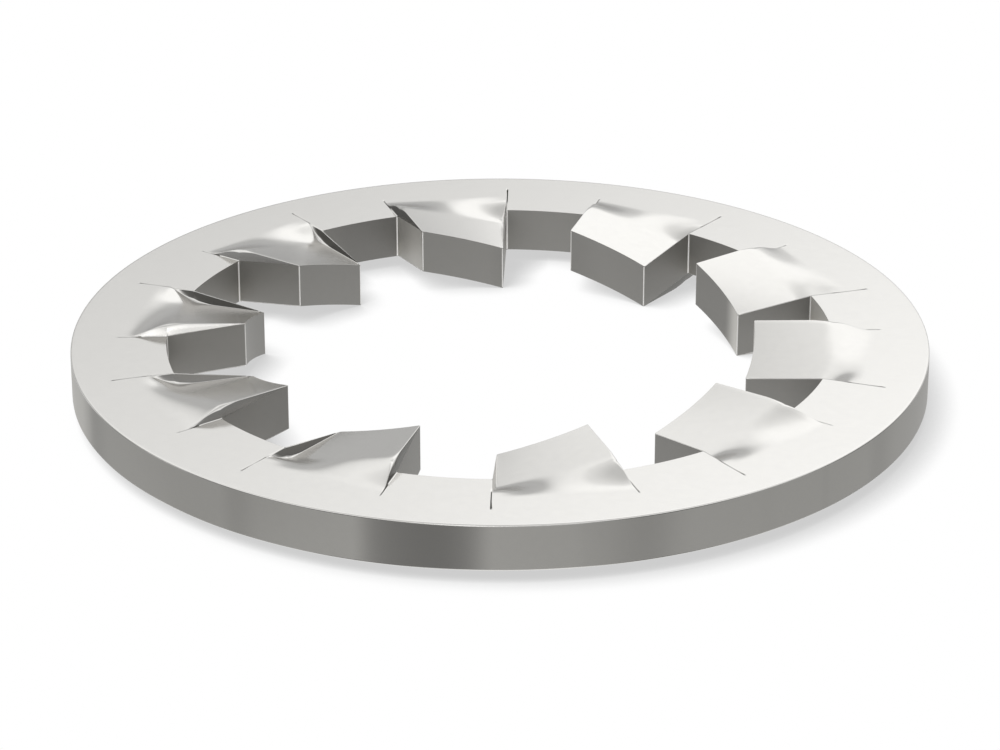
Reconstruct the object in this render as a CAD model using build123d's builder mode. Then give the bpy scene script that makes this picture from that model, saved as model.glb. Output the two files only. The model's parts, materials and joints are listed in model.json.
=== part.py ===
from build123d import *
from math import cos, radians, tan
import os

# Internal tooth lock washer, stamped from one piece of spring steel.
# Each tooth is sheared from the ring along two radial lines and twisted about its own centre line,
# so that one edge stands above the plate and the other below it.
# Lengths are in millimetres and angles in degrees. The washer's axis is +Z, and the lowered edges
# of the teeth rest on Z = 0.

bolt_diameter = 10.0
bolt_clearance = 0.35  # all round the bolt, up to the tips of the teeth
tooth_length = 1.65  # from the tips to the root circle, which is seen between the teeth
bend_outside = 0.87  # from the root circle out to the start of the twist, along a sheared line
slit_tail = 0.43  # from there to the end of the sheared line, in the flat plate
rim_width = 0.7  # unbroken ring outside the sheared lines
bend_inside = 0.25  # from the root circle in to the end of the twist, along the centre line

plate_thickness = 0.97
edge_lift = 0.264  # rise of a tooth's one edge above the plate, and drop of the other below it
slit_width = 0.03  # of the hairline that the shear leaves in the flat plate
rim_round = 0.03  # radius on the washer's outer edges, where the blanking die draws them over

tooth_count = 10
first_tooth_angle = 27.1  # from +X to the centre line of the first tooth
slit_angle = 20.56  # between the two sheared lines of a tooth, seen from the axis
edge_setback = 0.47  # from each sheared line to the edge of the tooth's twisted face

tip_radius = bolt_diameter / 2 + bolt_clearance
root_radius = tip_radius + tooth_length
slit_start_radius = root_radius + bend_outside
slit_end_radius = slit_start_radius + slit_tail
outer_radius = slit_end_radius + rim_width

half_slit_angle = slit_angle / 2
half_face_angle = half_slit_angle - edge_setback
bend_start = slit_start_radius * cos(radians(half_slit_angle))
bend_end = root_radius - bend_inside
past_the_tips = tip_radius * cos(radians(slit_angle))

plate_bottom = edge_lift
plate_top = plate_bottom + plate_thickness


def on_ray(distance, angle, height):
    """Point on a ray from the axis, its distance measured along the tooth's centre line, +X."""
    return Vector(distance, distance * tan(radians(angle)), height)


def on_circle(radius, angle, height):
    """Point on a circle round the axis, its angle measured from the tooth's centre line, +X."""
    return on_ray(radius * cos(radians(angle)), angle, height)


def twisting_edge(side):
    """Edge of the tooth's face through the bend: level at both ends and steepest halfway."""
    angle = side * half_face_angle
    lifted = plate_top + side * edge_lift
    third = (bend_end - bend_start) / 3
    curve = Bezier(
        on_ray(bend_start, angle, plate_top),
        on_ray(bend_start + third, angle, plate_top),
        on_ray(bend_end - third, angle, lifted),
        on_ray(bend_end, angle, lifted),
    )
    return curve.edge()


def twisted_edge(side):
    """Edge of the tooth's face from the end of the bend inwards, to where the bore cuts it off."""
    angle = side * half_face_angle
    lifted = plate_top + side * edge_lift
    line = Line(on_ray(bend_end, angle, lifted), on_ray(past_the_tips, angle, lifted))
    return line.edge()


def sheared_line(side):
    """Line along which the shear leaves the plate, from the start of the bend to the root circle."""
    angle = side * half_slit_angle
    line = Line(
        on_ray(bend_start, angle, plate_top),
        on_circle(root_radius, angle, plate_top),
    )
    return line.edge()


def corner_face(side):
    """Flat three-cornered face between the root circle, the end of the bend and the tooth's tip."""
    tip_corner = on_circle(tip_radius, side * half_face_angle, plate_top + side * edge_lift)
    outline = Polyline(sheared_line(side) @ 1, twisted_edge(side) @ 0, tip_corner, close=True)
    return Face(outline)


# The upper skin of one tooth. Straight lines join its two edges, so the twist is a ruled surface.
# On each side a narrow, steep face joins the edge to the sheared line.
tooth_skin = [
    Face.make_surface_from_curves(twisting_edge(1), twisting_edge(-1)),
    Face.make_surface_from_curves(twisted_edge(1), twisted_edge(-1)),
]
for side in (1, -1):
    tooth_skin.append(Face.make_surface_from_curves(twisting_edge(side), sheared_line(side)))
    tooth_skin.append(corner_face(side))

# The lower skin lies a plate's thickness straight below the upper one.
with BuildPart() as tooth:
    for face in tooth_skin:
        extrude(to_extrude=face, amount=plate_thickness, dir=(0, 0, -1))

with BuildPart() as lock_washer:
    # The blank: a ring with a three-cornered window for each tooth, out to where its twist starts.
    with BuildSketch(Plane.XY.offset(plate_bottom)):
        Circle(outer_radius)
        Circle(root_radius, mode=Mode.SUBTRACT)
        with PolarLocations(0, tooth_count, start_angle=first_tooth_angle):
            Polygon(
                (0, 0),
                (bend_start, bend_start * tan(radians(half_slit_angle))),
                (bend_start, -bend_start * tan(radians(half_slit_angle))),
                align=None,
                mode=Mode.SUBTRACT,
            )
    extrude(amount=plate_thickness)
    rim_edges = lock_washer.edges().filter_by(GeomType.CIRCLE).group_by(SortBy.RADIUS)[-1]
    fillet(rim_edges, radius=rim_round)

    # The hairlines that the shear leaves beyond the bends.
    with BuildSketch(Plane.XY.offset(plate_bottom)):
        for side in (1, -1):
            slit_direction = first_tooth_angle + side * half_slit_angle
            with PolarLocations(slit_start_radius, tooth_count, start_angle=slit_direction):
                Rectangle(slit_tail, slit_width, align=(Align.MIN, Align.CENTER))
    extrude(amount=plate_thickness, mode=Mode.SUBTRACT)

    with PolarLocations(0, tooth_count, start_angle=first_tooth_angle):
        add(tooth.part)
    Hole(tip_radius)

lock_washer.part.label = "lock_washer"
os.makedirs("parts", exist_ok=True)
export_step(lock_washer.part, "parts/lock_washer.step")
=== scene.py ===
import json
from math import cos, hypot, pi, radians, sin, tan
from typing import NamedTuple

import bpy
from bpy.props import FloatProperty, FloatVectorProperty, IntProperty, PointerProperty
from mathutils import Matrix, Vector


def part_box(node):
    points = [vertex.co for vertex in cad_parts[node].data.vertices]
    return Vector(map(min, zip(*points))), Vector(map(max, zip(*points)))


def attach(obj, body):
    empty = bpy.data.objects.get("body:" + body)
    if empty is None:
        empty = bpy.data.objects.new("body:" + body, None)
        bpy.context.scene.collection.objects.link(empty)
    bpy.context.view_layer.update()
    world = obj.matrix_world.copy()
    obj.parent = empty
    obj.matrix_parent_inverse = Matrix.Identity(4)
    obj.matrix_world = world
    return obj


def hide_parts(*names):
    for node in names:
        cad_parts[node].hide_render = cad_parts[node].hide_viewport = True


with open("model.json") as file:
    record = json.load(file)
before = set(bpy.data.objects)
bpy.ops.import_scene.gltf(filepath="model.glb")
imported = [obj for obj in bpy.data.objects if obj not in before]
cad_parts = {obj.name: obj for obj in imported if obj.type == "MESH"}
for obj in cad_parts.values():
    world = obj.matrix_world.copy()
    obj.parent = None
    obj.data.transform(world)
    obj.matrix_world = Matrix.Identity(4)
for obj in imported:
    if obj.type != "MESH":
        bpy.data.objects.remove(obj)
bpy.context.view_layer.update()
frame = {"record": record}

bl_info = {
    "name": "Internal Tooth Lock Washer",
    "version": (1, 0, 0),
    "blender": (4, 5, 0),
    "location": "3D View > Sidebar > Lock Washer",
    "description": "A stamped lock washer with sheared and twisted inner teeth, and its studio",
    "category": "Add Mesh",
}

NODE = "lock_washer"
BODY = "root"
MM = 0.001

mounts = {mount["name"]: mount for mount in frame["record"]["mounts"]}
TIP_RADIUS = mounts["bolt_hole"]["dims"]["r_mm"] * MM
PLATE_TOP = mounts["head_face"]["pos_m"][2]
PLATE_BOTTOM = mounts["work_face"]["pos_m"][2]
OUTER_RADIUS = min(abs(reach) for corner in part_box(NODE) for reach in corner.xy)

# Where one look of the steel passes into the next
TORN_SLOPES = (0.08, 0.16)  # height of the normal, from the sheared walls to the narrow side faces
BRIGHT_SLOPES = (0.32, 0.5)  # the same, from the narrow side faces to the rolled ones
RIM_REACH = (7.5 * MM, 8.5 * MM)  # distance from the axis, from the inner walls to the rim's wall
PAINTED_LIGHT_FACING = (-0.91, -0.95)  # X of the normal, from the other walls to those given painted light from -X
SLIT_SHADE_RANGE = (0.0, 0.12)  # value of the mark, from the plate beside a slit to the painted shade in the slit
PAINTED_FLOOR_LIGHT_HEIGHTS = (0.3 * MM, 0.8 * MM)  # height above the floor, from steel given painted floor light in reflections to the rest

# Noise that varies the steel: its grain, and the painted reflection bands and patches
GRAIN_SCALE = 6000
GRAIN_AMOUNT = 0.06
GRAIN_HEIGHT = 0.002 * MM
GRAIN_STRENGTH = 0.1
# Dark upright bands painted on the walls as reflections
REFLECTION_BAND_NOISE = {"scale": 350, "offset": (-30.707, -3.553), "detail": 1.0}
REFLECTION_BAND_RANGE = (0.25, 0.48)
# Bright patches painted on the narrow side faces as reflections
REFLECTION_PATCH_NOISE = {"scale": 3, "offset": (-53.626, 18.241), "detail": 0.0}
REFLECTION_PATCH_RANGE = (0.4, 0.65)
REFLECTION_PATCH_POWER = 1.5

# Shadow on the floor
SHADOW_RANGE = (0.38, 0.82)  # part of the light that isn't hidden, from full shadow to none
SHADOW_SAMPLES = 16


class WasherShape(bpy.types.PropertyGroup):
    """Sizes of the washer. The edges of its teeth stand as far above the plate as below it."""

    outer_radius: FloatProperty(
        name="Outer Radius",
        description="Radius of the blanked rim",
        default=OUTER_RADIUS, unit="LENGTH", precision=6,
    )
    slit_end_radius: FloatProperty(
        name="Slit End Radius",
        description="Where the sheared line ends in the plate beside a tooth's lowered edge",
        default=8.3 * MM, unit="LENGTH", precision=6,
    )
    short_slit_radius: FloatProperty(
        name="Short Slit Radius",
        description="Where the sheared line ends in the plate beside a tooth's raised edge",
        default=8.03 * MM, unit="LENGTH", precision=6,
    )
    bend_radius: FloatProperty(
        name="Bend Radius",
        description="Where the twist starts, measured along a sheared line",
        default=7.87 * MM, unit="LENGTH", precision=6,
    )
    root_radius: FloatProperty(
        name="Root Radius",
        description="Radius of the arcs between the teeth",
        default=7.0 * MM, unit="LENGTH", precision=6,
    )
    bend_end: FloatProperty(
        name="Bend End",
        description="Where the twist is complete, measured along a tooth's centre line",
        default=6.75 * MM, unit="LENGTH", precision=6,
    )
    late_bend_radius: FloatProperty(
        name="Late Bend Radius",
        description="Where a tooth's lowered edge starts to drop",
        default=7.6 * MM, unit="LENGTH", precision=6,
    )
    tip_radius: FloatProperty(
        name="Tip Radius",
        description="Radius of the bore that cuts the tips of the teeth",
        default=TIP_RADIUS, unit="LENGTH", precision=6,
    )
    plate_top: FloatProperty(
        name="Plate Top",
        description="Height of the ring's upper face",
        default=PLATE_TOP, unit="LENGTH", precision=6,
    )
    thickness: FloatProperty(
        name="Thickness",
        description="Thickness of the plate",
        default=PLATE_TOP - PLATE_BOTTOM, unit="LENGTH", precision=6,
    )
    edge_lift: FloatProperty(
        name="Edge Lift",
        description="Rise of a tooth's one edge above the plate, and drop of the other",
        default=PLATE_BOTTOM, unit="LENGTH", precision=6,
    )
    slit_width: FloatProperty(
        name="Slit Width",
        description="Width of the hairline that the shear leaves beyond the bend",
        default=0.04 * MM, unit="LENGTH", precision=6,
    )
    slit_depth: FloatProperty(
        name="Slit Depth",
        description="Depth of that hairline",
        default=0.2 * MM, unit="LENGTH", precision=6,
    )
    edge_round: FloatProperty(
        name="Edge Round",
        description="Radius on the cut edges of the tips and of the gaps between the teeth",
        default=0.004 * MM, unit="LENGTH", precision=6,
    )
    side_round: FloatProperty(
        name="Side Round",
        description="Smallest radius on the long edges of a tooth's twisted faces",
        default=0.01 * MM, unit="LENGTH", precision=6,
    )
    drawn_over: FloatProperty(
        name="Drawn Over",
        description="Part of a tooth's narrow side face that is drawn over into a round at its root",
        default=0.32, min=0, max=0.5, subtype="FACTOR",
    )
    drawn_reach: FloatProperty(
        name="Drawn Reach",
        description="How far from the root, along the tooth's edge, that round fades out",
        default=0.48 * MM, unit="LENGTH", precision=6,
    )
    corner_round: FloatProperty(
        name="Corner Round",
        description="Radius of the upright corners at the tips and in the gaps, seen from above",
        default=0.022 * MM, unit="LENGTH", precision=6,
    )
    rim_round: FloatProperty(
        name="Rim Round",
        description="Radius on the edges of the rim",
        default=0.03 * MM, unit="LENGTH", precision=6,
    )
    tooth_count: IntProperty(
        name="Teeth",
        description="Number of teeth, evenly spaced",
        default=10, min=3,
    )
    first_tooth: FloatProperty(
        name="First Tooth",
        description="Angle from +X to the centre line of the first tooth",
        default=radians(27.1), unit="ROTATION",
    )
    slit_angle: FloatProperty(
        name="Slit Angle",
        description="Angle from a tooth's centre line to each of its sheared lines",
        default=radians(10.28), unit="ROTATION",
    )
    face_angle: FloatProperty(
        name="Face Angle",
        description="Angle from a tooth's centre line to each edge of its twisted face",
        default=radians(9.81), unit="ROTATION",
    )


class SteelFinish(bpy.types.PropertyGroup):
    """Colours and gloss of the plated steel, with the light, shade and reflections that are painted into its
    colour.
    """

    face_colour: FloatVectorProperty(
        name="Face Colour",
        description="Reflected colour of the bright faces",
        subtype="COLOR", size=3, min=0, max=1, default=(0.76, 0.75, 0.725),
    )
    sheared_colour: FloatVectorProperty(
        name="Sheared Colour",
        description="Reflected colour of the walls that the punch left",
        subtype="COLOR", size=3, min=0, max=1, default=(0.285, 0.28, 0.266),
    )
    # Painted light: the steel is shown lighter where another of its faces mirrors it
    painted_mirror_colour: FloatVectorProperty(
        name="Mirrored Colour",
        description="Reflected colour of the steel where another of its faces mirrors it",
        subtype="COLOR", size=3, min=0, max=1, default=(0.5, 0.49, 0.47),
    )
    # Painted light: that mirrored colour is lightened further close to the floor
    painted_floor_light_gain: FloatProperty(
        name="Low Gain",
        description="How many times as bright that is close to the floor, which lights the walls",
        default=1.7, min=0,
    )
    # Partly the torn steel's own colour, partly painted shade: the dark of the narrow faces' painted
    # reflections and of the slits
    torn_and_shade_colour: FloatVectorProperty(
        name="Torn Colour",
        description="Reflected colour of the narrow, steep faces along the sides of the teeth",
        subtype="COLOR", size=3, min=0, max=1, default=(0.12, 0.118, 0.11),
    )
    # Painted reflection: the bright patches on some of the narrow side faces
    painted_reflection_colour: FloatVectorProperty(
        name="Burnished Colour",
        description="Reflected colour of those narrow faces where the punch has burnished them",
        subtype="COLOR", size=3, min=0, max=1, default=(0.7, 0.69, 0.67),
    )
    # Painted highlight: the light caught along the upright corners of the gaps and tips
    painted_highlight_colour: FloatVectorProperty(
        name="Rubbed Colour",
        description="Reflected colour of corners that handling has rubbed bright",
        subtype="COLOR", size=3, min=0, max=1, default=(0.95, 0.94, 0.92),
    )
    face_roughness: FloatProperty(
        name="Face Roughness",
        description="Roughness of the bright faces",
        default=0.18, min=0, max=1, subtype="FACTOR",
    )
    torn_roughness: FloatProperty(
        name="Torn Roughness",
        description="Roughness of the narrow, steep faces along the sides of the teeth",
        default=0.25, min=0, max=1, subtype="FACTOR",
    )
    sheared_roughness: FloatProperty(
        name="Sheared Roughness",
        description="Roughness of the walls that the punch left",
        default=0.55, min=0, max=1, subtype="FACTOR",
    )
    # Painted light: the rim's wall is lightened against the inner walls
    painted_rim_light: FloatProperty(
        name="Rim Tone",
        description="How many times as bright the rim's wall is as the inner walls",
        default=1.23, min=0,
    )
    # Painted light: lightens the inner walls that face -X, as light falling from that side would
    painted_left_light_gain: FloatProperty(
        name="Close Cut Gain",
        description="How much brighter the inner walls that face -X are, where the punch fitted closest",
        default=2.2, min=0,
    )
    # Painted light: lightens the rim's wall where it faces -X
    painted_rim_left_light_gain: FloatProperty(
        name="Close Rim Gain",
        description="How much brighter the rim's wall is where it faces -X",
        default=1.35, min=0,
    )
    # Painted reflection: dark upright bands on the rim
    rim_reflection_bands: FloatProperty(
        name="Rim Streaks",
        description="How much the upright streaks on the rim darken it",
        default=0.53, min=0, max=1, subtype="FACTOR",
    )
    # Upright streaks on the inner walls, painted as dark reflection bands
    inner_reflection_bands: FloatProperty(
        name="Inner Streaks",
        description="How much the upright streaks on the inner walls darken them",
        default=0.2, min=0, max=1, subtype="FACTOR",
    )


class StudioLayout(bpy.types.PropertyGroup):
    """Camera, floor and lights round the washer."""

    camera_tilt: FloatProperty(
        name="Camera Tilt",
        description="How far the camera looks down",
        default=radians(24.341), unit="ROTATION",
    )
    camera_distance: FloatProperty(
        name="Camera Distance",
        description="From the camera to the point that it looks at",
        default=77.145 * MM, unit="LENGTH", precision=5,
    )
    target_height: FloatProperty(
        name="Target Height",
        description="Height of the point on the washer's axis that the camera looks at",
        default=0.271 * MM, unit="LENGTH", precision=6,
    )
    focal_length: FloatProperty(
        name="Focal Length",
        description="Focal length on a sensor 36 mm wide",
        default=131.25, unit="CAMERA",
    )
    floor_size: FloatProperty(
        name="Floor Size",
        description="Side of the square floor",
        default=1.2, unit="LENGTH",
    )
    floor_colour: FloatVectorProperty(
        name="Floor Colour",
        description="Colour of the floor",
        subtype="COLOR", size=3, min=0, max=1, default=(0.95, 0.95, 0.95),
    )
    floor_glow: FloatProperty(
        name="Floor Glow",
        description="How much of the floor's look is plain white and not lit",
        default=1.0, min=0, max=1, subtype="FACTOR",
    )
    shadow_reach: FloatProperty(
        name="Shadow Reach",
        description="How far from the washer the floor can be shaded",
        default=1.0 * MM, unit="LENGTH", precision=5,
    )
    shadow_lean: FloatProperty(
        name="Shadow Lean",
        description="How far from overhead the shading light comes, from the left",
        default=radians(40), unit="ROTATION",
    )
    shadow_tone: FloatProperty(
        name="Shadow Tone",
        description="Brightness of the floor where the washer hides it from the light",
        default=0.61, min=0, max=1, subtype="FACTOR",
    )
    far_tone: FloatProperty(
        name="Far Tone",
        description="Brightness of the far floor in the steel, which is that of the horizon",
        default=0.42, min=0, max=1, subtype="FACTOR",
    )
    white_reach: FloatProperty(
        name="White Reach",
        description="How far from the axis the floor stays white in the steel",
        default=15 * MM, unit="LENGTH", precision=4,
    )
    grey_reach: FloatProperty(
        name="Grey Reach",
        description="Where the floor has come down to its far tone",
        default=40 * MM, unit="LENGTH", precision=4,
    )
    panel_light: FloatProperty(
        name="Panel Light",
        description="Extra brightness of a broad soft panel behind the washer, to its right",
        default=0.43, min=0,
    )
    strip_light: FloatProperty(
        name="Strip Light",
        description="Extra brightness of a small soft light low down behind the camera",
        default=2.2, min=0,
    )
    brightest: FloatProperty(
        name="Brightest",
        description="Brightness that the surroundings don't pass where the panel is",
        default=1.27, min=0,
    )


def opaque(colour):
    """A colour property with its alpha, or a socket as it is."""
    return colour if isinstance(colour, bpy.types.NodeSocket) else (*colour, 1)


class TreeBuilder:
    """Places nodes in a tree from left to right, and links them."""

    column_width = 190
    first_colour, second_colour, mixed_colour = 6, 7, 2  # places of the Mix node's colour sockets

    def __init__(self, tree):
        self.tree = tree
        self.count = 0

    def node(self, kind, values=None, **settings):
        """A new node with its settings, and with values or links for its inputs, by name or place."""
        node = self.tree.nodes.new(kind)
        node.location = (self.count * self.column_width, 0)
        self.count += 1
        for key, value in settings.items():
            setattr(node, key, value)
        for key, value in (values or {}).items():
            if isinstance(value, bpy.types.NodeSocket):
                self.tree.links.new(value, node.inputs[key])
            else:
                node.inputs[key].default_value = value
        return node

    def group(self, tree, **values):
        """Outputs of a node group, which is given its inputs by name."""
        return self.node("ShaderNodeGroup", values, node_tree=tree).outputs

    def math(self, operation, first, second=0.0):
        """The result of one sum."""
        return self.node("ShaderNodeMath", {0: first, 1: second}, operation=operation).outputs[0]

    def vector_math(self, operation, *vectors):
        """The result of one sum with vectors, which is a number for a length or a dot product."""
        result = "Value" if operation in ("LENGTH", "DOT_PRODUCT") else "Vector"
        inputs = dict(enumerate(vectors))
        return self.node("ShaderNodeVectorMath", inputs, operation=operation).outputs[result]

    def level(self, vector):
        """A vector without its height."""
        return self.vector_math("MULTIPLY", vector, (1, 1, 0))

    def level_noise(self, vector, scale, offset, detail):
        """Noise that changes only along the plate, scaled and moved."""
        place = self.vector_math("MULTIPLY_ADD", vector, (scale, scale, 0), (*offset, 0))
        return self.node("ShaderNodeTexNoise", {"Vector": place, "Scale": 1.0, "Detail": detail}).outputs[0]

    def ranged(self, value, start, end, low=0.0, high=1.0, smooth=True):
        """A value turned from one range into another, and held at its ends."""
        steps = "SMOOTHSTEP" if smooth else "LINEAR"
        inputs = {"Value": value, "From Min": start, "From Max": end, "To Min": low, "To Max": high}
        return self.node("ShaderNodeMapRange", inputs, interpolation_type=steps).outputs["Result"]

    def between(self, factor, first, second):
        """A number that a factor takes from the first to the second."""
        return self.ranged(factor, 0.0, 1.0, first, second, smooth=False)

    def scaled(self, vector, factor):
        """A vector or colour times a factor."""
        return self.node("ShaderNodeVectorMath", {0: vector, "Scale": factor}, operation="SCALE").outputs[0]

    def blended(self, factor, first, second):
        """A colour that a factor takes from the first to the second."""
        inputs = {0: factor, self.first_colour: opaque(first), self.second_colour: opaque(second)}
        return self.node("ShaderNodeMix", inputs, data_type="RGBA").outputs[self.mixed_colour]


def new_group(name, kind, inputs, outputs):
    """A node group with named sockets: its builder, and the sockets that bring its inputs."""
    tree = bpy.data.node_groups.new(name, kind)
    for label, socket, value in inputs:
        item = tree.interface.new_socket(label, in_out="INPUT", socket_type=socket)
        if value is not None:
            item.default_value = value
    for label, socket in outputs:
        tree.interface.new_socket(label, in_out="OUTPUT", socket_type=socket)
    build = TreeBuilder(tree)
    return build, build.node("NodeGroupInput").outputs


def emptied_tree(owner):
    """Builder for the node tree of a new material or world, emptied of its first nodes."""
    owner.use_nodes = True
    owner.node_tree.nodes.clear()
    return TreeBuilder(owner.node_tree)


def linked_object(name, data):
    """New object in the scene."""
    thing = bpy.data.objects.new(name, data)
    bpy.context.scene.collection.objects.link(thing)
    return thing


def pointing(azimuth, elevation):
    """Direction at an azimuth from +Y towards +X and an elevation, both in degrees."""
    flat = cos(radians(elevation))
    return flat * sin(radians(azimuth)), flat * cos(radians(azimuth)), sin(radians(elevation))


def mixed(first, second, share):
    """The point that lies a share of the way from the first point to the second."""
    return tuple(a + (b - a) * share for a, b in zip(first, second))


def spaced(first, last, steps):
    """Evenly spaced values from the first, without the last."""
    return [first + (last - first) * step / steps for step in range(steps)]


def smooth(way):
    """Eases a share of the way in and out, and holds it between 0 and 1."""
    way = min(max(way, 0), 1)
    return way * way * (3 - 2 * way)


def quarter_round(radius, steps=4):
    """Inset and drop of the points of a rounded edge, from the flat face to the wall."""
    angles = [pi / 2 * step / steps for step in range(steps + 1)]
    return [(radius * (1 - sin(a)), radius * (1 - cos(a))) for a in angles]


def stand_off(radius, way):
    """How far a rounded corner stands off its side, at a share of the way along the corner."""
    return radius * (1 - (1 - (1 - way) ** 2) ** 0.5) if way < 1 else 0.0


def lowered(points, drop):
    """Section points moved down."""
    return [(angle, share, own + drop) for angle, share, own in points]


class Row(NamedTuple):
    """One row of points across the sector, on a circle round the axis."""

    radius: float
    rim_drop: float = 0.0  # of every point, where the rim's edge is rounded
    gap_drop: float = 0.0  # of the points beside the tooth, where the gap's edge is rounded
    tip_drop: float = 0.0  # of the points on the tooth, where the tip's edge is rounded


def rows_between(*stops):
    """Rows up to the last stop, each stop given as its radius and its rows up to the next one."""
    return [
        Row(radius)
        for (first, count), (last, _) in zip(stops, stops[1:])
        for radius in spaced(first, last, count)
    ]


class ToothSector:
    """Flat blank of one tooth with its share of the ring, open only at its cuts through the ring.

    Every point has a twist share, from -1 to 1: its part of the full edge lift, which the twist
    then multiplies by how far the bend has come at that distance from the axis.
    A section point is (angle from the centre line, twist share, drop below the plate's face).
    """

    plate_columns = 6  # in the plate, from the middle of the gap
    beside_columns = 2  # in the plate, close beside the slit
    crease_columns = 3  # from the sheared line up the narrow side face
    crest_ways = (0, 0.25, 0.5, 0.75, 1)  # along the round from that face to the tooth's face
    core_columns = 20  # steps across the tooth's face between its two rounds
    side_column = plate_columns + beside_columns
    column_count = 2 * (side_column + crease_columns + len(crest_ways)) + core_columns - 1
    plate_crowding = 1.5  # power that brings the plate's columns closer together near the slit
    crease_reaches = ((0.5, 0.3), (0.7, 0.42))  # slit widths, and the most as shares of the side face
    side_shares = (0.12, 0.5)  # of the way up the side face, where it is clear of the plate
    crest_reach = 1.5  # of the round over the tooth's face, against its reach down the side face
    least_set_back = 0.25  # share of the full set-back that is left where the twist starts
    late_share = 0.5  # twist share towards the lowered edge, from where the drop comes later
    wall_levels = (0.98, 0.92, 0.5, 0.08, 0.02)  # shares of the way down

    def __init__(self, shape):
        self.shape = shape
        self.half_pitch = pi / shape.tooth_count
        self.bend_start = shape.bend_radius * cos(shape.slit_angle)
        self.late_start = shape.late_bend_radius * cos(shape.face_angle)
        self.points = []
        self.shares = []
        self.highlit = []
        self.slit_shade = []
        self.faces = []

    def mesh(self):
        """Mesh of the blank, closed all round but for its two cuts through the ring."""
        rows = self.rows()
        top = self.skin(rows, turned=False)
        under = [line[::-1] for line in self.skin(rows, turned=True)]
        for path in (self.rim_path(), self.tooth_path(len(rows) - 1)):
            # Painted highlight along the upright corners of the gaps and tips
            bright = [self.corner_highlight(rows[i].radius, j) for i, j in path]
            self.wall([top[i][j] for i, j in path], [under[i][j] for i, j in path], bright)
        mesh = bpy.data.meshes.new("tooth_sector")
        mesh.from_pydata(self.points, [], self.faces)
        # Point attributes: the twist share, the painted highlight on the corners and the painted shade in
        # the slits
        for name, values in (("twist_share", self.shares), ("highlit", self.highlit), ("slit_shade", self.slit_shade)):
            mesh.attributes.new(name, "FLOAT", "POINT").data.foreach_set("value", values)
        return mesh

    def rows(self):
        """Rows of the sector from the rim to the tip, closer together where the surface bends."""
        shape = self.shape
        root, tip, corner = shape.root_radius, shape.tip_radius, shape.corner_round
        rim_edge = quarter_round(shape.rim_round)[::-1]
        cut_edge = quarter_round(shape.edge_round)
        upright = quarter_round(corner)
        rows = [Row(shape.outer_radius - inset, rim_drop=drop) for inset, drop in rim_edge]
        rows += rows_between(
            (shape.outer_radius - 2 * shape.rim_round, 3),
            (shape.slit_end_radius + shape.slit_width, 1),
            (shape.slit_end_radius, 5),
            (shape.short_slit_radius, 4),
            (shape.bend_radius, 16),
            (root + corner, 3),
            (root, 0),
        )
        rows += [Row(root + inset, gap_drop=drop) for inset, drop in cut_edge]
        self.root_row = len(rows) - 1
        rows += [Row(root - drop) for inset, drop in upright[1:]]
        rows += rows_between(
            (root - 2 * corner, 4), (shape.bend_end, 12), (tip + 2 * corner, 1), (tip + corner, 0)
        )
        rows += [Row(tip + inset) for inset, drop in upright[:3]]
        rows += [Row(tip + inset, tip_drop=drop) for inset, drop in cut_edge]
        return rows

    def corner_offset(self, radius):
        """How far the rounded corner in the gap stands off the line of the tooth's side."""
        size = self.shape.corner_round
        way = abs(radius - self.shape.root_radius) / size
        if radius > self.shape.root_radius:
            return size * max(1 - way, 0) ** 2
        return stand_off(size, way)

    def tip_narrowing(self, radius):
        """How far the rounded corner of the tip falls short of the line of the tooth's side."""
        size = self.shape.corner_round
        return stand_off(size, (radius - self.shape.tip_radius) / size)

    def bend(self, distance, start):
        """Share of a bend from the start to the bend's end that is complete at a distance along it."""
        return smooth((start - distance) / (start - self.shape.bend_end))

    def face_share(self, radius, angle):
        """Twist share of a point of the tooth's face. Near the lowered edge the drop comes later."""
        share = tan(angle) / tan(self.shape.face_angle)
        distance = radius * cos(angle)
        bend = self.bend(distance, self.bend_start)
        if share > 0 or bend == 0:
            return share
        late = self.bend(distance, self.late_start) / bend
        return share * (1 + (late - 1) * smooth((-share - self.late_share) / (1 - self.late_share)))

    def wall_point(self, radius):
        """Angle of a tooth's side wall at a radius, and how far it has come from root to tip."""
        shape = self.shape
        if radius >= shape.root_radius:
            return shape.slit_angle, 0.0
        way = (shape.root_radius - radius) / (shape.root_radius - shape.tip_radius)
        root = (shape.root_radius * cos(shape.slit_angle), shape.root_radius * sin(shape.slit_angle))
        tip = (shape.tip_radius * cos(shape.face_angle), shape.tip_radius * sin(shape.face_angle))
        return Vector(mixed(root, tip, way)).angle(Vector((1, 0))), way

    def set_back(self, radius):
        """Angle from a sheared line to the edge of the tooth's face, least where the twist starts."""
        shape = self.shape
        inside = (shape.bend_radius - radius) / (shape.bend_radius - shape.root_radius)
        outside = (radius - shape.bend_radius) / (shape.slit_end_radius - shape.bend_radius)
        return (shape.slit_angle - shape.face_angle) * min(max(inside, outside, self.least_set_back), 1)

    def slit_drop(self, radius, raised):
        """Depth of the hairline at a radius: full in the plate, and gone once the twist is clear."""
        shape = self.shape
        end = shape.short_slit_radius if raised else shape.slit_end_radius
        opening = (end - radius) / (2 * shape.slit_width)
        closing = 2 * (radius - shape.root_radius) / (shape.bend_radius - shape.root_radius) - 1
        return shape.slit_depth * min(max(opening, 0), 1) * min(max(closing, 0), 1)

    def side_rounding(self, radius, side):
        """How far the round at a tooth's edge reaches down its side face, which is as wide as given."""
        shape = self.shape
        drawn = max(1 - abs(radius - shape.root_radius) / shape.drawn_reach, 0)
        reach = max(shape.side_round, drawn * shape.drawn_over * side)
        return min(reach, side / 2) if radius >= shape.root_radius else reach

    def rounded(self, before, corner, after):
        """Section points on a curve from before to after, which rounds off the corner."""
        return [
            mixed(mixed(before, corner, way), mixed(corner, after, way), way) for way in self.crest_ways
        ]

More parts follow.
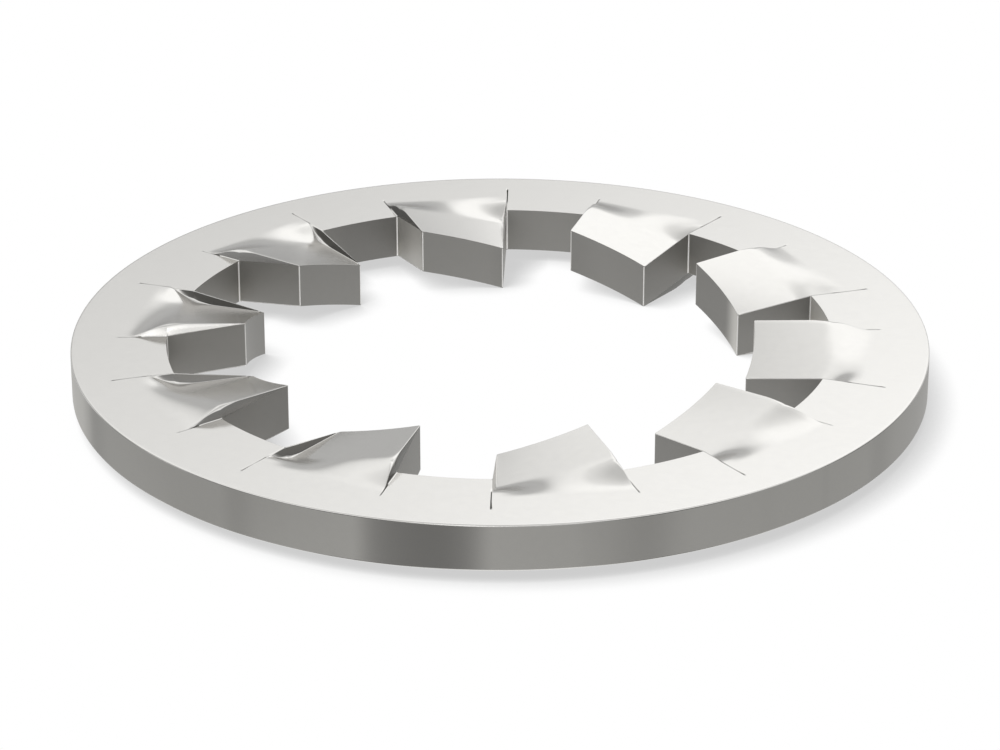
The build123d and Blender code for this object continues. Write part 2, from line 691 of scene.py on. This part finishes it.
    def half_section(self, row, raised):
        """Section points of a row, from the middle of the gap to the edge of the tooth's face."""
        shape = self.shape
        radius = row.radius
        narrowing = self.tip_narrowing(radius)
        wall_angle, wall_share = self.wall_point(radius)
        sign = 1 if raised else -1
        edge_angle = shape.slit_angle - self.set_back(radius) - narrowing / radius
        edge_share = sign * self.face_share(radius, sign * edge_angle)
        wall_angle -= narrowing / radius
        foot_angle = wall_angle + self.corner_offset(radius) / radius
        foot = (wall_angle, wall_share * edge_share, 0.0)
        edge = (edge_angle, edge_share, 0.0)
        lift = shape.edge_lift * self.bend(radius * cos(edge_angle), self.bend_start)
        side = hypot(radius * (wall_angle - edge_angle), lift * (edge_share - foot[1]))
        rounding = self.side_rounding(radius, side)
        if side >= rounding:
            ridge = (foot_angle, foot[1], 0.0)
            below = mixed(edge, foot, rounding / side)
        else:
            ridge = foot = below = (foot_angle, foot[1], rounding - side)
        inner_angle = edge_angle - self.crest_reach * rounding / radius
        inner = (inner_angle, sign * self.face_share(radius, sign * inner_angle), 0.0)
        crest = self.rounded(below, edge, inner)
        drop = row.rim_drop + row.tip_drop
        if radius < shape.root_radius:
            side_face = [ridge, *(mixed(foot, below, share) for share in self.side_shares)]
            return [None] * self.side_column + lowered(side_face + crest, drop)
        reaches = [(widths * shape.slit_width, most) for widths, most in self.crease_reaches]
        plate = [(angle, 0.0, 0.0) for angle in self.plate_angles()]
        plate += [(foot_angle + reach / radius, 0.0, 0.0) for reach, most in reversed(reaches)]
        crease = [(foot_angle, 0.0, self.slit_drop(radius, raised))]
        crease += [mixed(foot, edge, min(reach / side, most)) for reach, most in reaches]
        return lowered(plate, row.rim_drop + row.gap_drop) + lowered(crease + crest, drop)

    def plate_angles(self):
        """Angles of the columns in the plate beside a tooth, closer together near its slit."""
        start = self.shape.slit_angle
        span = self.half_pitch - start
        steps = self.plate_columns
        return [start + span * (1 - step / steps) ** self.plate_crowding for step in range(steps)]

    def section(self, row):
        """Section points of a row across the whole sector, from one side to the other."""
        left = self.half_section(row, raised=True)
        right = self.half_section(row, raised=False)
        right = [point and (-point[0], -point[1], point[2]) for point in right]
        half_face = left[-1][0]
        core = [
            (angle, self.face_share(row.radius, angle), row.rim_drop + row.tip_drop)
            for angle in spaced(-half_face, half_face, self.core_columns)[1:]
        ]
        return right + core + left[::-1]

    def add_point(self, radius, section_point, turned):
        """Index of a new point of the upper skin, or of the lower one, which is the same turned over."""
        angle, share, drop = section_point
        shape = self.shape
        side = -1 if turned else 1
        height = shape.plate_top - shape.thickness + drop if turned else shape.plate_top - drop
        self.points.append((radius * cos(angle), side * radius * sin(angle), height))
        self.shares.append(side * share)
        self.highlit.append(0.0)
        # The bottoms of the slits are marked for painted shade
        self.slit_shade.append(float(drop > shape.rim_round))  # only the bottom of a slit lies that low
        return len(self.points) - 1

    def skin(self, rows, turned):
        """Faces of one skin, and the grid of its points."""
        grid = [
            [point and self.add_point(row.radius, point, turned) for point in self.section(row)]
            for row in rows
        ]
        for line, next_line in zip(grid, grid[1:]):
            for face in zip(line, line[1:], next_line[1:], next_line):
                if None not in face:
                    self.faces.append(face)
        return grid

    def corner_highlight(self, radius, column):
        """Painted highlight on a place on the wall: full at the gaps' and tips' corners."""
        right, left = self.side_column, self.column_count - 1 - self.side_column
        beside = (right, right + 1, left - 1, left)
        reach = min(abs(radius - end) for end in (self.shape.root_radius, self.shape.tip_radius))
        return max(1 - reach / self.shape.corner_round, 0.0) if column in beside else 0.0

    def rim_path(self):
        """Places in the grid along the rim, with the air on the right."""
        return [(0, j) for j in range(self.column_count)]

    def tooth_path(self, tip_row):
        """Places in the grid along gap, tooth side, tip, tooth side and gap, air on the right."""
        right, left = self.side_column, self.column_count - 1 - self.side_column
        path = [(self.root_row, j) for j in range(self.column_count - 1, left, -1)]
        path += [(i, left) for i in range(self.root_row, tip_row + 1)]
        path += [(tip_row, j) for j in range(left - 1, right, -1)]
        path += [(i, right) for i in range(tip_row, self.root_row - 1, -1)]
        return path + [(self.root_row, j) for j in range(right - 1, -1, -1)]

    def wall(self, top, under, bright):
        """Faces of the wall between two lines of points, one straight above the other."""
        lines = [under]
        for level in self.wall_levels:
            lines.append([self.add_between(*ends, level) for ends in zip(top, under, bright)])
        lines.append(top)
        for low, high in zip(lines, lines[1:]):
            self.faces += zip(low, low[1:], high[1:], high)

    def add_between(self, top, under, glint, level):
        """Index of a new point of the wall between two others, with as much painted highlight as given."""
        self.points.append(mixed(self.points[top], self.points[under], level))
        self.shares.append(mixed([self.shares[top]], [self.shares[under]], level)[0])
        self.highlit.append(glint)
        self.slit_shade.append(0.0)
        return len(self.points) - 1


def twist_and_repeat_tree():
    """Geometry nodes that twist the tooth of a flat sector and set the sector round the axis."""
    build, given = new_group(
        "twist_and_repeat",
        "GeometryNodeTree",
        [
            ("Sector", "NodeSocketGeometry", None),
            ("Teeth", "NodeSocketInt", 10),
            ("First Tooth", "NodeSocketFloat", 0.0),
            ("Edge Lift", "NodeSocketFloat", 0.0),
            ("Bend Start", "NodeSocketFloat", 0.0),
            ("Bend End", "NodeSocketFloat", 0.0),
            ("Merge Distance", "NodeSocketFloat", 0.0),
            ("Material", "NodeSocketMaterial", None),
        ],
        [("Washer", "NodeSocketGeometry")],
    )
    share = build.node("GeometryNodeInputNamedAttribute", {"Name": "twist_share"}, data_type="FLOAT")
    place = build.node("ShaderNodeSeparateXYZ", {0: build.node("GeometryNodeInputPosition").outputs[0]})
    bend = build.ranged(place.outputs["X"], given["Bend Start"], given["Bend End"])
    rise = build.math("MULTIPLY", build.math("MULTIPLY", share.outputs[0], bend), given["Edge Lift"])
    offset = build.node("ShaderNodeCombineXYZ", {"Z": rise}).outputs[0]
    twisted = build.node("GeometryNodeSetPosition", {"Geometry": given["Sector"], "Offset": offset})
    sector = build.node(
        "GeometryNodeRemoveAttribute", {"Geometry": twisted.outputs[0], "Name": "twist_share"}
    ).outputs[0]
    points = build.node("GeometryNodePoints", {"Count": given["Teeth"]}).outputs[0]
    pitch = build.math("DIVIDE", 2 * pi, given["Teeth"])
    turn = build.math("MULTIPLY", build.node("GeometryNodeInputIndex").outputs[0], pitch)
    turn = build.math("ADD", turn, given["First Tooth"])
    rotation = build.node("FunctionNodeAxisAngleToRotation", {"Axis": (0, 0, 1), "Angle": turn})
    placed = build.node(
        "GeometryNodeInstanceOnPoints",
        {"Points": points, "Instance": sector, "Rotation": rotation.outputs[0]},
    ).outputs[0]
    whole = build.node("GeometryNodeRealizeInstances", {"Geometry": placed}).outputs[0]
    whole = build.node(
        "GeometryNodeMergeByDistance", {"Geometry": whole, "Distance": given["Merge Distance"]}
    ).outputs[0]
    whole = build.node("GeometryNodeSetShadeSmooth", {"Geometry": whole}).outputs[0]
    whole = build.node(
        "GeometryNodeSetMaterial", {"Geometry": whole, "Material": given["Material"]}
    ).outputs[0]
    build.node("NodeGroupOutput", {0: whole})
    return build.tree


def set_inputs(modifier, values):
    """Sets a tree's inputs by the identifiers of their sockets."""
    for item in modifier.node_group.interface.items_tree:
        if item.in_out == "INPUT" and item.name in values:
            modifier[item.identifier] = values[item.name]


def finished_piece(name, source):
    """Plain mesh object from a source object and its modifiers, which are then removed."""
    graph = bpy.context.evaluated_depsgraph_get()
    mesh = bpy.data.meshes.new_from_object(source.evaluated_get(graph), depsgraph=graph)
    mesh.name = name
    old = source.data
    bpy.data.objects.remove(source)
    bpy.data.meshes.remove(old)
    return linked_object(name, mesh)


def fine_grain_group():
    """Shader nodes for the fine grain of a rolled or sheared surface, around one."""
    build, given = new_group(
        "fine_grain",
        "ShaderNodeTree",
        [
            ("Vector", "NodeSocketVector", None),
            ("Scale", "NodeSocketFloat", 1.0),
            ("Amount", "NodeSocketFloat", 0.1),
        ],
        [("Factor", "NodeSocketFloat"), ("Height", "NodeSocketFloat")],
    )
    noise = build.node(
        "ShaderNodeTexNoise", {"Vector": given["Vector"], "Scale": given["Scale"], "Detail": 3.0}
    ).outputs[0]
    centred = build.math("SUBTRACT", noise, 0.5)
    factor = build.math("ADD", build.math("MULTIPLY", centred, given["Amount"]), 1.0)
    build.node("NodeGroupOutput", {0: factor, 1: noise})
    return build.tree


def reflection_bands_group():
    """Shader nodes for dark reflection bands painted straight up a wall, from 1 in a band to 0 beside it."""
    build, given = new_group(
        "reflection_bands",
        "ShaderNodeTree",
        [("Vector", "NodeSocketVector", None)],
        [("Factor", "NodeSocketFloat"), ("Reach", "NodeSocketFloat")],
    )
    level = build.level(given["Vector"])
    noise = build.level_noise(level, **REFLECTION_BAND_NOISE)
    streak = build.ranged(noise, *REFLECTION_BAND_RANGE, 1.0, 0.0)
    build.node("NodeGroupOutput", {0: streak, 1: build.vector_math("LENGTH", level)})
    return build.tree


def painted_reflection_patches_group():
    """Shader nodes for reflection patches painted by the direction from the axis, from 0 to 1 in a patch."""
    build, given = new_group(
        "painted_reflection_patches",
        "ShaderNodeTree",
        [("Vector", "NodeSocketVector", None)],
        [("Factor", "NodeSocketFloat")],
    )
    direction = build.vector_math("NORMALIZE", build.level(given["Vector"]))
    noise = build.level_noise(direction, **REFLECTION_PATCH_NOISE)
    patch = build.ranged(noise, *REFLECTION_PATCH_RANGE, smooth=False)
    build.node("NodeGroupOutput", {0: build.math("POWER", patch, REFLECTION_PATCH_POWER)})
    return build.tree


def painted_wall_light(build, finish, place, facing):
    """How bright a sheared wall is painted, by its reflection bands, its reach from the axis and the way it
    faces.
    """
    streaks = build.group(reflection_bands_group(), Vector=place)
    reach = streaks["Reach"]
    depth = build.ranged(reach, *RIM_REACH, finish.inner_reflection_bands, finish.rim_reflection_bands)
    streaked = build.math("SUBTRACT", 1.0, build.math("MULTIPLY", depth, streaks["Factor"]))
    tone = build.math("MULTIPLY", build.ranged(reach, *RIM_REACH, 1.0, finish.painted_rim_light), streaked)
    gain = build.ranged(reach, *RIM_REACH, finish.painted_left_light_gain, finish.painted_rim_left_light_gain)
    return build.math("MULTIPLY", tone, build.ranged(facing, *PAINTED_LIGHT_FACING, 1.0, gain))


def plated_steel(finish):
    """Bright plated faces and the duller walls that shearing leaves, in one material, with painted
    reflections, highlights, light and shade in its colour.
    """
    material = bpy.data.materials.new("plated_steel")
    build = emptied_tree(material)
    coordinates = build.node("ShaderNodeTexCoord").outputs
    place = coordinates["Object"]
    facing = build.node("ShaderNodeSeparateXYZ", {0: coordinates["Normal"]}).outputs
    slope = build.math("ABSOLUTE", facing["Z"])
    torn = build.ranged(slope, *TORN_SLOPES)
    bright = build.ranged(slope, *BRIGHT_SLOPES)
    # Painted light on the walls: reflection bands, a lighter rim and lighter walls facing -X
    tone = painted_wall_light(build, finish, place, facing["X"])
    # Painted reflection: the narrow side faces are dark, or bright in patches
    patches = build.group(painted_reflection_patches_group(), Vector=place)
    narrow = build.blended(patches["Factor"], finish.torn_and_shade_colour, finish.painted_reflection_colour)
    colour = build.blended(torn, build.scaled((*finish.sheared_colour,), tone), narrow)
    # Painted highlight on the upright corners
    highlit = build.node("ShaderNodeAttribute", attribute_name="highlit").outputs["Fac"]
    colour = build.blended(highlit, colour, finish.painted_highlight_colour)
    colour = build.blended(bright, colour, finish.face_colour)
    # Painted shade in the bottoms of the slits
    slit_shade = build.node("ShaderNodeAttribute", attribute_name="slit_shade").outputs["Fac"]
    colour = build.blended(build.ranged(slit_shade, *SLIT_SHADE_RANGE), colour, finish.torn_and_shade_colour)
    # Painted light: where other faces mirror the steel it is lighter, and lighter still close to the floor
    mirrored = build.node("ShaderNodeLightPath").outputs["Is Glossy Ray"]
    height = build.node("ShaderNodeSeparateXYZ", {0: place}).outputs["Z"]
    painted_floor_light = build.ranged(height, *PAINTED_FLOOR_LIGHT_HEIGHTS, finish.painted_floor_light_gain, 1.0)
    colour = build.blended(mirrored, colour, build.scaled((*finish.painted_mirror_colour,), painted_floor_light))
    grain = build.group(fine_grain_group(), Vector=place, Scale=GRAIN_SCALE, Amount=GRAIN_AMOUNT)
    colour = build.scaled(colour, grain["Factor"])
    roughness = build.between(torn, finish.sheared_roughness, finish.torn_roughness)
    roughness = build.between(bright, roughness, finish.face_roughness)
    roughness = build.math("MULTIPLY", roughness, grain["Factor"])
    bump = build.node(
        "ShaderNodeBump",
        {"Strength": GRAIN_STRENGTH, "Distance": GRAIN_HEIGHT, "Height": grain["Height"]},
    ).outputs[0]
    shader = build.node(
        "ShaderNodeBsdfPrincipled",
        {"Base Color": colour, "Metallic": 1.0, "Roughness": roughness, "Normal": bump},
    ).outputs[0]
    build.node("ShaderNodeOutputMaterial", {"Surface": shader})
    return material


def matt_floor(layout):
    """Plain white surface that the washer lies on, which shows a soft shadow close round it."""
    material = bpy.data.materials.new("matt_floor")
    build = emptied_tree(material)
    lean = build.node(
        "ShaderNodeCombineXYZ", {"X": -sin(layout.shadow_lean), "Z": cos(layout.shadow_lean)}
    ).outputs[0]
    unhidden = build.node(
        "ShaderNodeAmbientOcclusion",
        {"Distance": layout.shadow_reach, "Normal": lean},
        samples=SHADOW_SAMPLES,
    ).outputs["AO"]
    shaded = build.ranged(unhidden, *SHADOW_RANGE, layout.shadow_tone, 1.0, smooth=False)
    distance = build.vector_math("LENGTH", build.node("ShaderNodeTexCoord").outputs["Object"])
    fading = build.ranged(distance, layout.white_reach, layout.grey_reach, 1.0, layout.far_tone)
    path = build.node("ShaderNodeLightPath").outputs
    # The camera sees only the shadow, and the steel only the fading
    shaded = build.math("MAXIMUM", shaded, build.math("SUBTRACT", 1.0, path["Is Camera Ray"]))
    fading = build.math("MAXIMUM", fading, path["Is Camera Ray"])
    shown = build.math("MINIMUM", shaded, fading)
    glow = build.node("ShaderNodeEmission", {"Strength": shown}).outputs[0]
    matt = build.node("ShaderNodeBsdfDiffuse", {"Color": opaque(layout.floor_colour)}).outputs[0]
    seen = build.math("MAXIMUM", path["Is Camera Ray"], path["Is Glossy Ray"])
    seen = build.math("MAXIMUM", seen, path["Is Transmission Ray"])
    share = build.math("MULTIPLY", seen, layout.floor_glow)
    surface = build.node("ShaderNodeMixShader", {0: share, 1: matt, 2: glow}).outputs[0]
    build.node("ShaderNodeOutputMaterial", {"Surface": surface})
    return material


class LOCKWASHER_OT_ring(bpy.types.Operator):
    """Make the washer: a ring with ten sheared and twisted teeth"""

    bl_idname = "lock_washer.ring"
    bl_label = "Washer Ring"

    merge_distance = 0.0002 * MM  # joins the cut edges of the sectors

    def execute(self, context):
        shape = context.scene.washer_shape
        sector = ToothSector(shape)
        steel = plated_steel(context.scene.washer_steel)
        source = linked_object("tooth_sector", sector.mesh())
        source.data.materials.append(steel)
        nodes = source.modifiers.new("twist_and_repeat", "NODES")
        nodes.node_group = twist_and_repeat_tree()
        set_inputs(
            nodes,
            {
                "Teeth": shape.tooth_count,
                "First Tooth": shape.first_tooth,
                "Edge Lift": shape.edge_lift,
                "Bend Start": sector.bend_start,
                "Bend End": shape.bend_end,
                "Merge Distance": self.merge_distance,
                "Material": steel,
            },
        )
        ring = finished_piece("toothed_ring", source)
        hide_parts(NODE)
        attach(ring, BODY)
        return {"FINISHED"}


class LOCKWASHER_OT_stage(bpy.types.Operator):
    """Make the floor, the lights and the camera"""

    bl_idname = "lock_washer.stage"
    bl_label = "Studio"

    # Elevations in degrees with the sky's brightness there. Aims are an azimuth and an elevation
    tones_by_elevation = (
        (0, 0.42), (3, 0.46), (9, 0.53), (12, 0.54), (17, 0.43), (21, 0.79), (27, 0.97), (36, 1.05),
        (43, 1.12), (48, 0.93), (54, 0.89), (66, 0.65), (90, 0.65),
    )
    panel_aim = (25, 27)
    panel_spread = 30
    strip_aim = (197, 3)
    strip_spread = 22
    sensor_width = 36
    clip_start = 1 * MM
    clip_end = 10

    def execute(self, context):
        layout = context.scene.washer_studio
        self.make_floor(layout)
        self.make_surroundings(layout)
        self.make_camera(layout)
        context.scene.view_settings.view_transform = "Standard"
        return {"FINISHED"}

    def make_floor(self, layout):
        """Square floor under the washer."""
        half = layout.floor_size / 2
        mesh = bpy.data.meshes.new("floor")
        mesh.from_pydata(
            [(-half, -half, 0), (half, -half, 0), (half, half, 0), (-half, half, 0)], [], [(0, 1, 2, 3)]
        )
        mesh.materials.append(matt_floor(layout))
        linked_object("floor", mesh)

    def make_surroundings(self, layout):
        """Light from all round, from a grey horizon to a bright ceiling."""
        world = bpy.data.worlds.new("studio")
        build = emptied_tree(world)
        direction = build.node("ShaderNodeTexCoord").outputs["Generated"]
        height = build.node("ShaderNodeSeparateXYZ", {0: direction}).outputs["Z"]
        ramp = build.node("ShaderNodeValToRGB", {"Fac": height})
        stops = ramp.color_ramp.elements
        for number, (elevation, tone) in enumerate(self.tones_by_elevation):
            place = sin(radians(elevation))
            stop = stops[number] if number < len(stops) else stops.new(place)
            stop.position = place
            stop.color = (tone, tone, tone, 1)
        strength = ramp.outputs["Color"]
        for aim, spread, tone, brightest in (
            (self.panel_aim, self.panel_spread, layout.panel_light, layout.brightest),
            (self.strip_aim, self.strip_spread, layout.strip_light, layout.brightest + layout.strip_light),
        ):
            towards = build.vector_math("DOT_PRODUCT", direction, pointing(*aim))
            glow = build.ranged(towards, cos(radians(spread)), 1.0, 0.0, tone)
            strength = build.math("MINIMUM", build.math("ADD", strength, glow), brightest)
        shader = build.node("ShaderNodeBackground", {"Color": (1, 1, 1, 1), "Strength": strength}).outputs[0]
        build.node("ShaderNodeOutputWorld", {"Surface": shader})
        bpy.context.scene.world = world

    def make_camera(self, layout):
        """Camera at the front, looking down along +Y."""
        lens = bpy.data.cameras.new("camera")
        lens.sensor_width = self.sensor_width
        lens.lens = layout.focal_length
        lens.clip_start = self.clip_start
        lens.clip_end = self.clip_end
        camera = linked_object("camera", lens)
        back = Vector((0, -cos(layout.camera_tilt), sin(layout.camera_tilt)))
        camera.location = Vector((0, 0, layout.target_height)) + layout.camera_distance * back
        camera.rotation_euler = (pi / 2 - layout.camera_tilt, 0, 0)
        bpy.context.scene.camera = camera


class LOCKWASHER_PT_sidebar(bpy.types.Panel):
    """Sizes, finish and studio of the washer"""

    bl_idname = "LOCKWASHER_PT_sidebar"
    bl_label = "Lock Washer"
    bl_space_type = "VIEW_3D"
    bl_region_type = "UI"
    bl_category = "Lock Washer"

    def draw(self, context):
        scene = context.scene
        for group, operator in (
            (scene.washer_shape, None),
            (scene.washer_steel, LOCKWASHER_OT_ring),
            (scene.washer_studio, LOCKWASHER_OT_stage),
        ):
            column = self.layout.column(align=True)
            for name in group.__annotations__:
                column.prop(group, name)
            if operator:
                self.layout.operator(operator.bl_idname)


CLASSES = (
    WasherShape,
    SteelFinish,
    StudioLayout,
    LOCKWASHER_OT_ring,
    LOCKWASHER_OT_stage,
    LOCKWASHER_PT_sidebar,
)


def register():
    """Makes the washer's settings, operators and panel known."""
    for cls in CLASSES:
        bpy.utils.register_class(cls)
    bpy.types.Scene.washer_shape = PointerProperty(type=WasherShape)
    bpy.types.Scene.washer_steel = PointerProperty(type=SteelFinish)
    bpy.types.Scene.washer_studio = PointerProperty(type=StudioLayout)


def unregister():
    """Takes them away again."""
    del bpy.types.Scene.washer_studio
    del bpy.types.Scene.washer_steel
    del bpy.types.Scene.washer_shape
    for cls in reversed(CLASSES):
        bpy.utils.unregister_class(cls)


def main():
    """Makes the washer and its studio."""
    register()
    bpy.ops.lock_washer.ring()
    bpy.ops.lock_washer.stage()


if __name__ == "__main__":
    main()
